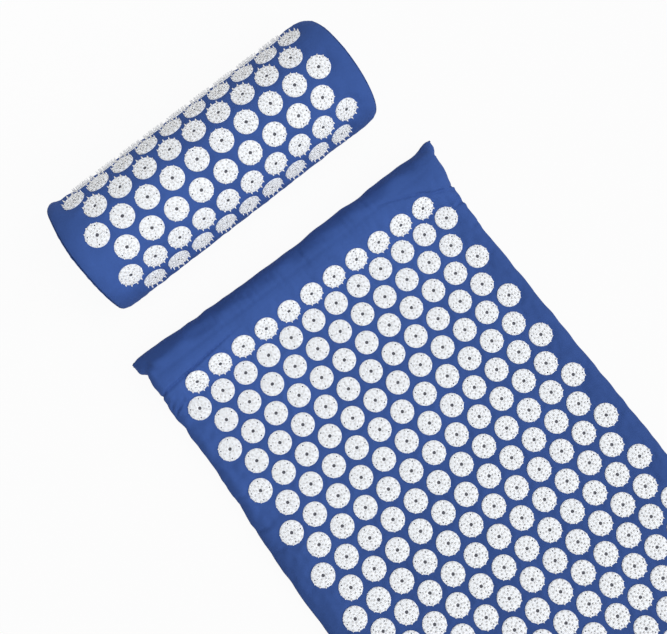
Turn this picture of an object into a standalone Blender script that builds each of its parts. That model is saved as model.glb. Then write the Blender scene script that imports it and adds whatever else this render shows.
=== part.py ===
# Acupressure mat with its half-round pillow.
# The mat is a flat foam slab in a cotton cover, with rows of rigid spike discs on the top cloth.
# The cover is a top and a bottom cloth sewn together half way up the edge. Its foot end is a mouth
# for taking the foam out, shut by a turn-up flap with hook-and-loop tape. The pillow is a D-shaped
# foam block in its own cover, and stands by itself past the mat's head end.
# The discs are fixed through the cloth, so each row is one piece with the strip that carries it.
# Units are metres, +Z is up, +X runs across the mat and +Y towards its head.
# The origin is the centre of the mat's underside.
import math

import bmesh
import bpy
from mathutils import Matrix, Vector

# Cloth, clearances and facets
CLOTH = 0.0010
FIT_GAP = 0.0003
SEAM_GAP = 0.0009
ROUND_STEPS = 4
MERGE_DISTANCE = 0.00001

# Spike discs: one moulding, repeated over the mat and the pillow
DISC_RADIUS = 0.01325
DISC_THICKNESS = 0.0013
SPIKE_HEIGHT = 0.0038
RIM_SPIKES = 10
PLATEAU_CORNERS = 5
PLATEAU_SHARE = 0.62
SPIKE_RIM_SHARE = 0.84
DISC_SPACE = 0.0055
DISC_EDGE_SPACE = 0.0020
GOLDEN_TURN = math.radians(137.5)

# Mat: overall, edge and disc field
MAT_LENGTH = 0.635
MAT_WIDTH = 0.408
FIELD_HEIGHT = 0.0210
SEAM_HEIGHT_SHARE = 0.5
SIDE_ROUND = 0.0120
UNDER_ROUND = 0.0100
ROW_SPACE = 0.0015

# Mat: soft roll at the head end, which the first row of discs climbs
FIRST_ROW_TILT = math.radians(33.0)
SLOPE_MARGIN = 0.0004
CREASE_SPACE = 0.0004
ROLL_EASE = 0.0065
ROLL_FLAT = 0.0196
HEAD_ROUND = 0.0180
HEAD_STEPS = 5

# Mat: cover corners that stick out past the foam at the head end
HEAD_FLARE = 0.0040
FLARE_LENGTH = 0.0800
EAR_REACH = 0.0065
EAR_LENGTH = 0.0170
EAR_RAMP = 0.0050

# Mat: mouth at the foot end
ROOT_GAP = 0.0008
FLAP_LEAD = 0.0010
FLAP_FALL = 0.0100
FLAP_STEPS = 5
FOAM_OVERHANG = 0.0020
FOAM_END_CHAMFER = 0.0015
TAPE_WIDTH = 0.0190
TAPE_THICKNESS = 0.0012
TAPE_END_INSET = 0.0120
TAPE_EDGE_INSET = 0.0010
TAPE_INNER_SPACE = 0.0007

# Pillow: a round bolster with a flat base
PILLOW_LENGTH = 0.364
PILLOW_RADIUS = 0.0677
PILLOW_AXIS_HEIGHT = 0.0393
PILLOW_ROWS = 7
PILLOW_ROW_SPACE = 0.0020
PILLOW_DISC_SPACE = 0.0061
PILLOW_LOWER_STEPS = 3
PILLOW_END_ROUND = 0.0130
PILLOW_END_BULGE = 0.0050
BASE_EDGE_GAP = 0.0006
PILLOW_DISTANCE = 0.0603
PILLOW_SIDE_OFFSET = 0.0033
PILLOW_TURN = math.radians(0.7)

# How far round its foam the pillow's cover has slipped, which takes the rows of discs towards the mat
PILLOW_SLIP = math.radians(-3.5)

# How much of the pillow's section its end seams draw in
PILLOW_END_DRAW_SHARE = 0.035

# Rings of a domed end panel: share of the outline, share of the bulge
DOME_RING_SHARES = ((1.0, 0.0), (0.86, 0.55), (0.5, 0.92))

# Places across the mat, and the pitch of its discs
HALF_WIDTH = MAT_WIDTH / 2
FLAT_HALF_WIDTH = HALF_WIDTH - SIDE_ROUND
DISC_PITCH = 2 * DISC_RADIUS + DISC_SPACE
ROW_PITCH = 2 * DISC_RADIUS + ROW_SPACE
DISC_REACH = DISC_RADIUS + DISC_EDGE_SPACE
LONG_ROW = 1 + int(2 * (FLAT_HALF_WIDTH - DISC_REACH) / DISC_PITCH)

# Places along the mat, from its head edge down to the mouth at its foot end
HEAD_Y = MAT_LENGTH / 2
FOOT_Y = -HEAD_Y
CROWN_Y = HEAD_Y - HEAD_ROUND - ROLL_FLAT
SLOPE_TOP_Y = CROWN_Y - ROLL_EASE
SLOPE_REACH = DISC_RADIUS * math.cos(FIRST_ROW_TILT) + SLOPE_MARGIN
FIRST_ROW_Y = SLOPE_TOP_Y - SLOPE_REACH
CREASE_Y = FIRST_ROW_Y - SLOPE_REACH
SECOND_ROW_Y = CREASE_Y - CREASE_SPACE - DISC_RADIUS
HINGE_Y = FOOT_Y + TAPE_EDGE_INSET + TAPE_WIDTH + TAPE_INNER_SPACE + FLAP_FALL + FLAP_LEAD + ROOT_GAP / 2
FLAP_ROOT_Y = HINGE_Y - ROOT_GAP / 2
PANEL_FOOT_Y = HINGE_Y + ROOT_GAP / 2
MAT_ROWS = 2 + int((SECOND_ROW_Y - PANEL_FOOT_Y - DISC_RADIUS) / ROW_PITCH)

# Heights in the mat, from the floor up
SEAM_HEIGHT = FIELD_HEIGHT * SEAM_HEIGHT_SHARE
UPPER_SEAM_Z = SEAM_HEIGHT + SEAM_GAP / 2
LOWER_SEAM_Z = SEAM_HEIGHT - SEAM_GAP / 2
HOOK_Z = CLOTH + FIT_GAP
LOOP_Z = HOOK_Z + TAPE_THICKNESS + FIT_GAP
LIP_TOP_Z = LOOP_Z + TAPE_THICKNESS + FIT_GAP + CLOTH
FOAM_INSET = CLOTH + FIT_GAP

# Places on the pillow
PILLOW_ROW_PITCH = 2 * DISC_RADIUS + PILLOW_ROW_SPACE
PILLOW_ROW_ANGLE = 2 * math.atan(PILLOW_ROW_PITCH / 2 / PILLOW_RADIUS)
PILLOW_DISC_PITCH = 2 * DISC_RADIUS + PILLOW_DISC_SPACE
PILLOW_FLAT_END = PILLOW_LENGTH / 2 - PILLOW_END_ROUND
PILLOW_LONG_ROW = 1 + int(2 * (PILLOW_FLAT_END - DISC_REACH) / PILLOW_DISC_PITCH)


def clear_scene():
    for item in list(bpy.data.objects):
        bpy.data.objects.remove(item)


def make_material(name, colour, roughness):
    material = bpy.data.materials.new(name)
    material.use_nodes = True
    shader = material.node_tree.nodes["Principled BSDF"]
    shader.inputs["Base Color"].default_value = (*colour, 1.0)
    shader.inputs["Roughness"].default_value = roughness
    return material


def make_empty(name, place, turn=0.0):
    empty = bpy.data.objects.new(name, None)
    empty.location = place
    empty.rotation_euler = (0.0, 0.0, turn)
    bpy.context.collection.objects.link(empty)
    return empty


def add_object(name, shape, materials, parent=None, cloth=0.0):
    """Makes the named sub-part from a bmesh given in its parent's frame."""
    bmesh.ops.remove_doubles(shape, verts=shape.verts, dist=MERGE_DISTANCE)
    mesh = bpy.data.meshes.new(name)
    shape.to_mesh(mesh)
    shape.free()
    for material in materials:
        mesh.materials.append(material)
    item = bpy.data.objects.new(name, mesh)
    item.parent = parent
    bpy.context.collection.objects.link(item)
    if cloth:
        shell = item.modifiers.new("cloth", "SOLIDIFY")
        shell.thickness = cloth
        shell.offset = -1.0
    return item


def grid_surface(rows):
    """A surface through rows of points, whose normals face up when rows run +Y and points +X."""
    shape = bmesh.new()
    lines = [[shape.verts.new(point) for point in row] for row in rows]
    for near, far in zip(lines, lines[1:]):
        for k in range(len(near) - 1):
            shape.faces.new((near[k], near[k + 1], far[k + 1], far[k]))
    return shape


def lofted_solid(rings):
    """A closed solid through rings of points that run clockwise seen along the way they follow."""
    shape = bmesh.new()
    loops = [[shape.verts.new(point) for point in ring] for ring in rings]
    count = len(loops[0])
    for near, far in zip(loops, loops[1:]):
        for k in range(count):
            after = (k + 1) % count
            shape.faces.new((near[k], far[k], far[after], near[after]))
    shape.faces.new(loops[0])
    shape.faces.new(list(reversed(loops[-1])))
    bmesh.ops.recalc_face_normals(shape, faces=shape.faces)
    return shape


def tape_strip(left, right, near, far, low, thickness):
    """A flat strip of tape or cloth between two sides, a near and a far edge."""
    size = (right - left, far - near, thickness)
    centre = ((left + right) / 2, (near + far) / 2, low + thickness / 2)
    shape = bmesh.new()
    bmesh.ops.create_cube(shape, size=1.0, matrix=Matrix.Translation(centre) @ Matrix.Diagonal((*size, 1.0)))
    return shape


def smooth_step(value):
    share = min(max(value, 0.0), 1.0)
    return share * share * (3.0 - 2.0 * share)


def add_disc(shape, place, turn):
    """Adds a spike disc without its back, and returns its rim: a plateau inside a ring of spikes."""

    def corner(angle, radius, height):
        return place @ Vector((radius * math.cos(angle), radius * math.sin(angle), height))

    rim_step = math.tau / RIM_SPIKES
    plateau_step = math.tau / PLATEAU_CORNERS
    per_corner = RIM_SPIKES // PLATEAU_CORNERS
    spike_top = DISC_THICKNESS + SPIKE_HEIGHT
    rim = [shape.verts.new(corner(turn + k * rim_step, DISC_RADIUS, 0.0)) for k in range(RIM_SPIKES)]
    plateau = []
    for k in range(PLATEAU_CORNERS):
        angle = turn + (k + 0.5) * plateau_step
        plateau.append(shape.verts.new(corner(angle, DISC_RADIUS * PLATEAU_SHARE, DISC_THICKNESS)))
    faces = [shape.faces.new(plateau)]
    for k in range(RIM_SPIKES):
        start, end, inner = rim[k], rim[(k + 1) % RIM_SPIKES], plateau[k // per_corner]
        tip_angle = turn + (k + 0.5) * rim_step
        tip = shape.verts.new(corner(tip_angle, DISC_RADIUS * SPIKE_RIM_SHARE, spike_top))
        faces += [shape.faces.new(side) for side in ((start, end, tip), (end, inner, tip), (inner, start, tip))]
    for k in range(PLATEAU_CORNERS):
        faces.append(shape.faces.new((rim[k * per_corner], plateau[k], plateau[k - 1])))
    for face in faces:
        face.material_index = 1
    return rim


def fill_around_disc(shape, rim, turn, corners):
    """Fills the cloth between a disc's rim and the corners of its cell, one for each quarter turn."""
    step = math.tau / RIM_SPIKES
    quarters = [int(((turn + k * step) % math.tau) / (math.pi / 2)) % 4 for k in range(RIM_SPIKES)]
    for k in range(RIM_SPIKES):
        after = (k + 1) % RIM_SPIKES
        outside = [corners[quarters[k]]]
        if quarters[after] != quarters[k]:
            outside.append(corners[quarters[after]])
        shape.faces.new([rim[after], rim[k]] + outside)


def add_spike_strip(name, columns, discs, materials, parent=None):
    """A strip of cover cloth with its row of discs.

    A column holds the strip's outer near and far points and, unless it only parts two discs, its
    inner ones. discs maps a column's number to the place and turn of the disc that follows it.
    """
    shape = bmesh.new()
    outer = [[shape.verts.new(point) for point in column[:2]] for column in columns]
    inner = [[shape.verts.new(point) for point in column[2:]] for column in columns if len(column) > 2]
    for k, (near, far) in enumerate(outer[:-1]):
        next_near, next_far = outer[k + 1]
        if k in discs:
            place, turn = discs[k]
            fill_around_disc(shape, add_disc(shape, place, turn), turn, (next_far, far, near, next_near))
        else:
            shape.faces.new((near, next_near, next_far, far))
    for (near, far), (next_near, next_far) in zip(inner, inner[1:]):
        shape.faces.new((near, far, next_far, next_near))
    for side in (0, 1):
        shape.faces.new([pair[side] for pair in outer] + [pair[side] for pair in reversed(inner)])
    for out_end, in_end in ((outer[0], inner[0]), (outer[-1], inner[-1])):
        shape.faces.new((out_end[0], out_end[1], in_end[1], in_end[0]))
    bmesh.ops.recalc_face_normals(shape, faces=shape.faces)
    return add_object(name, shape, materials, parent)


def centred_steps(count, pitch):
    return [(k - (count - 1) / 2) * pitch for k in range(count)]


def cell_borders(steps, pitch, flat_end):
    """Borders of the cells that a row of discs stands in, the outer two no further than the flat."""
    end = min(steps[-1] + pitch / 2, flat_end)
    return [-end] + [x + pitch / 2 for x in steps[:-1]] + [end]


def mat_half_width(y):
    flare = HEAD_FLARE * smooth_step((y - (HEAD_Y - FLARE_LENGTH)) / (FLARE_LENGTH - EAR_LENGTH))
    ear = EAR_REACH * smooth_step((y - (HEAD_Y - EAR_LENGTH)) / EAR_RAMP)
    return HALF_WIDTH + flare + ear


def mat_top_height(y):
    """Height of the top cloth along the mat's middle, before the head edge turns down."""
    slope = math.tan(FIRST_ROW_TILT)
    if y <= CREASE_Y:
        return FIELD_HEIGHT
    if y <= SLOPE_TOP_Y:
        return FIELD_HEIGHT + (y - CREASE_Y) * slope
    slope_top = FIELD_HEIGHT + (SLOPE_TOP_Y - CREASE_Y) * slope
    ease = CROWN_Y - SLOPE_TOP_Y
    share = min((y - SLOPE_TOP_Y) / ease, 1.0)
    return slope_top + slope * ease * (share - share * share / 2)


def edge_columns(half_width, side_round):
    """Points across a panel: distance from the middle and how far up the rounded side they lie."""
    angles = [math.pi / 2 * k / ROUND_STEPS for k in range(ROUND_STEPS + 1)]
    right = [(half_width - side_round + side_round * math.cos(a), math.sin(a)) for a in angles]
    left = [(-x, rise) for x, rise in right]
    return left + [(0.0, 1.0)] + list(reversed(right))


def head_rows(head_y, head_round, steps=HEAD_STEPS):
    """Places along a panel where its head edge turns over, with how far up the turn they lie."""
    angles = [math.pi / 2 * k / steps for k in range(steps + 1)]
    turned = [(head_y - head_round + head_round * math.cos(a), math.sin(a)) for a in angles]
    return list(reversed(turned))


def head_stations(inset=0.0):
    """Stations from the top of the first row's slope, over the roll, to the head edge."""
    eased = [SLOPE_TOP_Y + (CROWN_Y - SLOPE_TOP_Y) * k / 2 for k in (0, 1, 2)]
    eased[0] += FIT_GAP
    return [(y, 1.0) for y in eased] + head_rows(HEAD_Y - inset, HEAD_ROUND)


def make_mat_head_panel(material):
    rows = []
    for y, turn in head_stations():
        rise = (mat_top_height(y) - UPPER_SEAM_Z) * turn
        columns = edge_columns(mat_half_width(y), SIDE_ROUND)
        rows.append([(x, y, UPPER_SEAM_Z + rise * up) for x, up in columns])
    return add_object("mat_head_panel", grid_surface(rows), [material], cloth=CLOTH)


def make_mat_bottom_panel(material):
    stations = [(PANEL_FOOT_Y, 1.0), (CREASE_Y, 1.0), (CROWN_Y, 1.0)]
    rows = []
    for y, turn in stations + head_rows(HEAD_Y, UNDER_ROUND):
        columns = edge_columns(mat_half_width(y), UNDER_ROUND)
        rows.append([(-x, y, LOWER_SEAM_Z - LOWER_SEAM_Z * up * turn) for x, up in columns])
    return add_object("mat_bottom_panel", grid_surface(rows), [material], cloth=CLOTH)


def make_mat_foam(material):
    """The slab, cut with the same rounded edges as its cover and one layer of cloth smaller."""
    end_y = PANEL_FOOT_Y - FOAM_OVERHANG
    stations = [(end_y, 1.0, FOAM_END_CHAMFER), (end_y + FOAM_END_CHAMFER, 1.0, 0.0), (CREASE_Y, 1.0, 0.0)]
    stations += [(y, turn, 0.0) for y, turn in head_stations(FOAM_INSET) if turn > 0.0]
    rings = []
    for y, turn, drop in stations:
        flare = HEAD_FLARE * smooth_step((y - HEAD_Y + FLARE_LENGTH) / FLARE_LENGTH)
        half = HALF_WIDTH + flare - FOAM_INSET
        top = (mat_top_height(y) - FOAM_INSET - drop - SEAM_HEIGHT) * turn
        low = (SEAM_HEIGHT - FOAM_INSET) * turn
        over = [(x, y, SEAM_HEIGHT + top * up) for x, up in edge_columns(half, SIDE_ROUND)]
        under = [(x, y, SEAM_HEIGHT - low * up) for x, up in edge_columns(half, UNDER_ROUND)]
        rings.append(over + list(reversed(under[1:-1])))
    return add_object("mat_foam_core", lofted_solid(rings), [material])


def make_closure(materials):
    """The mouth at the foot end: lower lip and hook tape stay, flap and loop tape turn up together."""
    cover, hook, loop = materials
    hinge_z = FIELD_HEIGHT
    hinge = make_empty("closure_hinge", (0.0, HINGE_Y, hinge_z))
    drop = FIELD_HEIGHT - LIP_TOP_Z
    side_drop = UPPER_SEAM_Z - LIP_TOP_Z
    fall = [k / FLAP_STEPS for k in range(FLAP_STEPS + 1)]
    profile = [(FLAP_ROOT_Y, 0.0)]
    profile += [(FLAP_ROOT_Y - FLAP_LEAD - FLAP_FALL * share, smooth_step(share)) for share in fall]
    profile.append((FOOT_Y, 1.0))
    rows = []
    for y, down in reversed(profile):
        row = []
        for x, up in edge_columns(HALF_WIDTH, SIDE_ROUND):
            root_z = UPPER_SEAM_Z + (FIELD_HEIGHT - UPPER_SEAM_Z) * up
            lip_drop = side_drop + (drop - side_drop) * up
            row.append((x, y - HINGE_Y, root_z - lip_drop * down - hinge_z))
        rows.append(row)
    add_object("mat_closure_flap", grid_surface(rows), [cover], hinge, cloth=CLOTH)

    tape_half = HALF_WIDTH - TAPE_END_INSET
    tape_near = FOOT_Y + TAPE_EDGE_INSET
    tape_far = tape_near + TAPE_WIDTH
    near, far = tape_near - HINGE_Y, tape_far - HINGE_Y
    strip = tape_strip(-tape_half, tape_half, near, far, LOOP_Z - hinge_z, TAPE_THICKNESS)
    add_object("mat_closure_loop_tape", strip, [loop], hinge)
    strip = tape_strip(-tape_half, tape_half, tape_near, tape_far, HOOK_Z, TAPE_THICKNESS)
    add_object("mat_closure_hook_tape", strip, [hook])
    strip = tape_strip(-HALF_WIDTH, HALF_WIDTH, FOOT_Y, PANEL_FOOT_Y - FIT_GAP, 0.0, CLOTH)
    add_object("mat_closure_lower_lip", strip, [cover])


def mat_row_y(row):
    if row == 0:
        return FIRST_ROW_Y
    return SECOND_ROW_Y - (row - 1) * ROW_PITCH


def strip_edges(row):
    """Near and far edge of the strip of cloth that carries a row of discs."""
    if row == 0:
        return CREASE_Y + FIT_GAP / 2, SLOPE_TOP_Y
    y = mat_row_y(row)
    near = PANEL_FOOT_Y if row == MAT_ROWS - 1 else y - ROW_PITCH / 2 + FIT_GAP / 2
    far = CREASE_Y - FIT_GAP / 2 if row == 1 else y + ROW_PITCH / 2 - FIT_GAP / 2
    return near, far


def strip_line(y, borders):
    """Points across a strip's near or far edge: outer ones, and inner ones where they are needed."""
    half_width = mat_half_width(y)
    top = mat_top_height(y)
    outside = edge_columns(half_width, SIDE_ROUND)
    inside = edge_columns(half_width - CLOTH, SIDE_ROUND - CLOTH)
    outer = [(x, y, UPPER_SEAM_Z + (top - UPPER_SEAM_Z) * up) for x, up in outside]
    inner = [(x, y, UPPER_SEAM_Z + (top - CLOTH - UPPER_SEAM_Z) * up) for x, up in inside]
    middle = len(outer) // 2
    outer = outer[:middle] + [(x, y, top) for x in borders] + outer[middle + 1:]
    inner = inner[:middle] + [None] * len(borders) + inner[middle + 1:]
    return list(zip(outer, inner))


def make_mat_strips(materials):
    """The top cloth and its discs, row by row from the head end."""
    for row in range(MAT_ROWS):
        near, far = strip_edges(row)
        steps = centred_steps(LONG_ROW - 1 + row % 2, DISC_PITCH)
        borders = cell_borders(steps, DISC_PITCH, FLAT_HALF_WIDTH)
        columns = []
        for (out_near, in_near), (out_far, in_far) in zip(strip_line(near, borders), strip_line(far, borders)):
            inner = (in_near, in_far) if in_near else ()
            columns.append((out_near, out_far, *inner))

        y = mat_row_y(row)
        tilt = FIRST_ROW_TILT if row == 0 else 0.0
        first = [len(column) for column in columns].index(2)
        discs = {}
        for k, x in enumerate(steps):
            place = Matrix.Translation((x, y, mat_top_height(y))) @ Matrix.Rotation(tilt, 4, "X")
            discs[first + k] = (place, (row + k) * GOLDEN_TURN)
        add_spike_strip(f"mat_disc_row_{row + 1:02d}", columns, discs, materials)


def section_share(x):
    """How much of the full section is left at a place along the pillow."""
    past = max(abs(x) - PILLOW_FLAT_END, 0.0) / PILLOW_END_ROUND
    return 1.0 - PILLOW_END_DRAW_SHARE * past * past


def pillow_stations(half_length):
    right = [PILLOW_FLAT_END, (half_length + PILLOW_FLAT_END) / 2, half_length]
    return [-x for x in reversed(right)] + right


def last_row_edge(side):
    """Angle from the pillow's top to the outer edge of the last row of discs on one side."""
    return PILLOW_ROWS / 2 * PILLOW_ROW_ANGLE + side * PILLOW_SLIP


def lower_outline(side, inset=0.0, base=0.0):
    """Points down one side of the pillow, from below its last row of discs to the base corner."""
    radius = PILLOW_RADIUS - inset
    start = last_row_edge(side)
    end = math.acos((base - PILLOW_AXIS_HEIGHT) / radius)
    angles = [start + (end - start) * k / PILLOW_LOWER_STEPS for k in range(PILLOW_LOWER_STEPS + 1)]
    reach = [radius / math.cos(PILLOW_ROW_ANGLE / 2)] + [radius] * PILLOW_LOWER_STEPS
    return [(side * r * math.sin(a), PILLOW_AXIS_HEIGHT + r * math.cos(a)) for a, r in zip(angles, reach)]


def whole_outline(inset=0.0, base=0.0):
    """Half-round section from one base corner over the top to the other, with a flat for each row."""
    reach = (PILLOW_RADIUS - inset) / math.cos(PILLOW_ROW_ANGLE / 2)
    angles = [(k - PILLOW_ROWS / 2) * PILLOW_ROW_ANGLE + PILLOW_SLIP for k in range(1, PILLOW_ROWS)]
    top = [(reach * math.sin(a), PILLOW_AXIS_HEIGHT + reach * math.cos(a)) for a in angles]
    return list(reversed(lower_outline(-1.0, inset, base))) + top + lower_outline(1.0, inset, base)


def drawn_in(point):
    """Draws a point of the pillow in towards the middle of its base near the end seams."""
    x, y, z = point
    share = section_share(x)
    return (x, y * share, z * share)


def make_pillow_strips(materials, frame):
    """The wrap's flats with their discs, row by row from the back."""
    tangent = math.tan(PILLOW_ROW_ANGLE / 2)
    for row in range(PILLOW_ROWS):
        angle = ((PILLOW_ROWS - 1) / 2 - row) * PILLOW_ROW_ANGLE + PILLOW_SLIP
        seat = Matrix.Translation((0.0, 0.0, PILLOW_AXIS_HEIGHT)) @ Matrix.Rotation(-angle, 4, "X")
        steps = centred_steps(PILLOW_LONG_ROW - 1 + row % 2, PILLOW_DISC_PITCH)
        borders = cell_borders(steps, PILLOW_DISC_PITCH, PILLOW_FLAT_END)

        def points(x, height):
            half = height * tangent - FIT_GAP / 2
            return [drawn_in(seat @ Vector((x, across, height))) for across in (-half, half)]

        stations = pillow_stations(PILLOW_LENGTH / 2)
        ends = [points(x, PILLOW_RADIUS) + points(x, PILLOW_RADIUS - CLOTH) for x in stations]
        middle = len(ends) // 2
        columns = ends[:middle] + [points(x, PILLOW_RADIUS) for x in borders] + ends[middle:]
        discs = {}
        for k, x in enumerate(steps):
            place = seat @ Matrix.Translation((x, 0.0, PILLOW_RADIUS))
            discs[middle + k] = (place, (row + k) * GOLDEN_TURN)
        add_spike_strip(f"pillow_disc_row_{row + 1}", columns, discs, materials, frame)


def make_pillow_side(name, side, material, frame):
    """The wrap's plain side below its last row of discs, down to the base seam."""
    outside = lower_outline(side)
    inside = lower_outline(side, CLOTH, CLOTH / 2)
    tangent_y = side * math.cos(last_row_edge(side))
    tangent_z = -math.sin(last_row_edge(side))
    for line in (outside, inside):
        y, z = line[0]
        line[0] = (y + tangent_y * FIT_GAP, z + tangent_z * FIT_GAP)
    section = outside + list(reversed(inside))
    rings = [[drawn_in((x, y, z)) for y, z in section] for x in pillow_stations(PILLOW_LENGTH / 2)]
    add_object(name, lofted_solid(rings), [material], frame)


def make_pillow_end(name, side, material, frame):
    """A D-shaped end panel that bulges past the seam it is sewn along."""
    seam_x = PILLOW_LENGTH / 2 + FIT_GAP + CLOTH
    end_share = 1.0 - PILLOW_END_DRAW_SHARE
    shape = bmesh.new()
    loops = []
    for ring_share, bulge_share in DOME_RING_SHARES:
        x = side * (seam_x + PILLOW_END_BULGE * bulge_share)
        ring = []
        for y, z in whole_outline():
            rise = (z * end_share - PILLOW_AXIS_HEIGHT) * ring_share
            ring.append(shape.verts.new((x, y * end_share * ring_share, PILLOW_AXIS_HEIGHT + rise)))
        loops.append(ring)
    for outer, inner in zip(loops, loops[1:]):
        for k in range(len(outer)):
            shape.faces.new((outer[k - 1], outer[k], inner[k], inner[k - 1]))
    tip = shape.verts.new((side * (seam_x + PILLOW_END_BULGE), 0.0, PILLOW_AXIS_HEIGHT))
    for k in range(len(loops[-1])):
        shape.faces.new((loops[-1][k - 1], loops[-1][k], tip))
    bmesh.ops.recalc_face_normals(shape, faces=shape.faces)
    if sum(face.normal.x for face in shape.faces) * side < 0.0:
        bmesh.ops.reverse_faces(shape, faces=shape.faces)
    add_object(name, shape, [material], frame, cloth=CLOTH)


def make_pillow(cover, foam, plastic):
    place = (PILLOW_SIDE_OFFSET, HEAD_Y + PILLOW_DISTANCE + PILLOW_RADIUS, 0.0)
    frame = make_empty("pillow_frame", place, PILLOW_TURN)
    half = PILLOW_LENGTH / 2
    make_pillow_strips([cover, plastic], frame)
    make_pillow_side("pillow_side_back", 1.0, cover, frame)
    make_pillow_side("pillow_side_front", -1.0, cover, frame)
    make_pillow_end("pillow_end_left", -1.0, cover, frame)
    make_pillow_end("pillow_end_right", 1.0, cover, frame)

    base_corner = lower_outline(1.0)[-1][0]
    base_half = base_corner * (1.0 - PILLOW_END_DRAW_SHARE) - CLOTH - BASE_EDGE_GAP
    strip = tape_strip(-half, half, -base_half, base_half, 0.0, CLOTH)
    add_object("pillow_base_panel", strip, [cover], frame)

    core = whole_outline(FOAM_INSET, FOAM_INSET)
    rings = [[drawn_in((x, y, z)) for y, z in core] for x in pillow_stations(half - FIT_GAP)]
    add_object("pillow_foam_core", lofted_solid(rings), [foam], frame)


def main():
    clear_scene()
    cover = make_material("blue_cotton", (0.042, 0.100, 0.330), 0.85)
    plastic = make_material("white_plastic", (0.800, 0.815, 0.840), 0.35)
    foam = make_material("grey_foam", (0.480, 0.490, 0.500), 0.95)
    hook = make_material("hook_tape", (0.025, 0.050, 0.160), 0.60)
    loop = make_material("loop_tape", (0.030, 0.070, 0.220), 0.90)
    make_mat_bottom_panel(cover)
    make_mat_foam(foam)
    make_mat_strips([cover, plastic])
    make_mat_head_panel(cover)
    make_closure((cover, hook, loop))
    make_pillow(cover, foam, plastic)


main()
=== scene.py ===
"""Acupressure mat and half-round pillow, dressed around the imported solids. Metres, +Z up."""

import math

import bmesh
import bpy
import numpy as np
from mathutils import Matrix, Vector, noise
from mathutils.geometry import delaunay_2d_cdt


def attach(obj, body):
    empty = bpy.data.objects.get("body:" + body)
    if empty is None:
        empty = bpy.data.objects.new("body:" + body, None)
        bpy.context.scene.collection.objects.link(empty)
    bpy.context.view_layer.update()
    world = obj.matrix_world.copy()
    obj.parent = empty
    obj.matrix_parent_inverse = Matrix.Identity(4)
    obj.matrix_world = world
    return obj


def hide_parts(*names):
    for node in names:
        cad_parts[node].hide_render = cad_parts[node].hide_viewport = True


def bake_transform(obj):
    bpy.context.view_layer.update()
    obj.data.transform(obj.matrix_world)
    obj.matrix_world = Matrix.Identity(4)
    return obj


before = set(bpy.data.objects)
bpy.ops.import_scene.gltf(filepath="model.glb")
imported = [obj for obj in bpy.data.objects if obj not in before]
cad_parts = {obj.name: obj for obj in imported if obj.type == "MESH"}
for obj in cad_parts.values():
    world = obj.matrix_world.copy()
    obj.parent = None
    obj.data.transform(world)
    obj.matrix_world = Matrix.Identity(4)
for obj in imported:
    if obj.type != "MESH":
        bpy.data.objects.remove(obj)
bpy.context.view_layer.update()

# Camera: where the photograph was taken from
CAMERA_PLACE = (-0.0496, 0.1904, 0.9161)
CAMERA_RIGHT = (0.79244, -0.60985, -0.01091)
CAMERA_UP = (0.60515, 0.78384, 0.13921)
CAMERA_BACK = (-0.07635, -0.11692, 0.99020)
CAMERA_LENS_MM = 42.75
CAMERA_SENSOR_MM = 36.0
CAMERA_SHIFT = (0.0405, -0.0852)

# The solids' sizes that the pieces follow
CLOTH = 0.0010
DISC_RADIUS = 0.01325
DISC_THICKNESS = 0.0013
SPIKE_HEIGHT = 0.0038
FIELD_HEIGHT = 0.0210
SEAM_Z = 0.0105
FLAT_HALF_WIDTH = 0.1920
FOOT_Y = -0.3175
DISC_PITCH = 0.0320
ROW_PITCH = 0.0280
LONG_ROW = 12
MAT_ROWS = 20
FIRST_ROW_TILT = math.radians(33.0)
FIRST_ROW_Y = 0.261888
CREASE_Y = 0.250376
SECOND_ROW_Y = 0.236726
SLOPE_TOP_Y = 0.2734
CROWN_Y = 0.2799
FINE_FROM_Y = 0.2400
FINE_TO_Y = 0.2960
HINGE_Y = -0.2854
HINGE_FROM_Y = -0.2842
HINGE_TO_Y = -0.2866
FLAP_FALL_FROM_Y = -0.2868
FLAP_FALL = 0.0100
LIP_TOP_Z = 0.0053
HOOK_Z = 0.0013
LOOP_Z = 0.0028
TAPE_WIDTH = 0.0190
TAPE_THICKNESS = 0.0012
TAPE_HALF = 0.1920
TAPE_NEAR_Y = -0.3165
PILLOW_PLACE = (0.0033, 0.4455, 0.0)
PILLOW_TURN = math.radians(0.7)
PILLOW_SLIP = math.radians(-3.5)
PILLOW_LENGTH = 0.364
PILLOW_HALF = PILLOW_LENGTH / 2
PILLOW_RADIUS = 0.0677
PILLOW_AXIS_Z = 0.0393
PILLOW_ROWS = 7
PILLOW_LONG_ROW = 10
PILLOW_DISC_PITCH = 0.0326
PILLOW_ROW_ANGLE = 2 * math.atan(0.01425 / PILLOW_RADIUS)
PILLOW_END_ROUND = 0.0130
PILLOW_END_PUFF = 0.0030
PILLOW_END_DRAW_SHARE = 0.014

# Each disc's turn from the one before it
GOLDEN_TURN = math.radians(137.5)

# How the cloth lies. A gap is the distance from a point of the cloth to the nearest disc's rim.
TUCK = 0.0016
SEAM_STEP = 0.0003
UNDER_DISC_GAP = 0.0003
UNDER_DISC_DIP = -0.00016
SWELL_SETTLED = 0.0004
SIDE_SLACK = 0.0030
# Valleys beside the head corners: side, place across and along, lean, depth
VALLEYS = ((-1, -0.1925, 0.3090, 0.55, 0.0036), (1, 0.2010, 0.3075, 0.35, 0.0010))
HEAD_RUMPLE = 0.0032

# Cloth simulation
SETTLE_SCALE = 20.0
SETTLE_FRAMES = 20
SETTLE_PRESSURE = 5.0
SETTLE_HELD_GAP = 0.0004
SETTLE_LOWEST = -0.0004

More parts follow.
